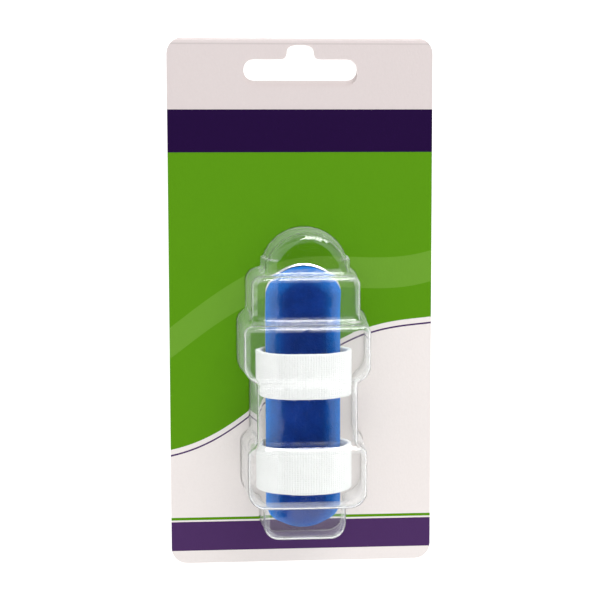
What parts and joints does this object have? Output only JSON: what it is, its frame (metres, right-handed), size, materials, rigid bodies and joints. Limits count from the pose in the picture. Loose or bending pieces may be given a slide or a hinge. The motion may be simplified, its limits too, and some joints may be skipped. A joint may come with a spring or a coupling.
{
  "type": "curved finger splint on a blister card",
  "caption": "Aluminium finger splint with a curled tip and foam lining, hook-and-loop bands round it, in a clear stepped blister on a folded card with a hang slot.",
  "frame": {"origin": "under the middle of the card, on the surface it lies on", "axes": "+Z out of the card towards the blister's front, +Y along the card towards the hang slot, +X to the right of the splint's foam side"},
  "size_m": [0.0762, 0.1524, 0.0268],
  "materials": {
    "printed_card": "coated, semi-gloss, printed in white, purple and green",
    "clear_plastic": "clear and glossy",
    "bare_aluminium": "satin",
    "blue_foam": "matt open-cell foam",
    "white_loop": "napped loop pile",
    "white_hook": "matt hook tape"
  },
  "bodies": {
    "root": {"card": "printed_card", "blister": "clear_plastic", "splint_shell": "bare_aluminium", "foam_liner": "blue_foam", "upper_band": "white_loop", "lower_band": "white_loop", "upper_hook_patch": "white_hook", "lower_hook_patch": "white_hook"}
  },
  "joints": []
}
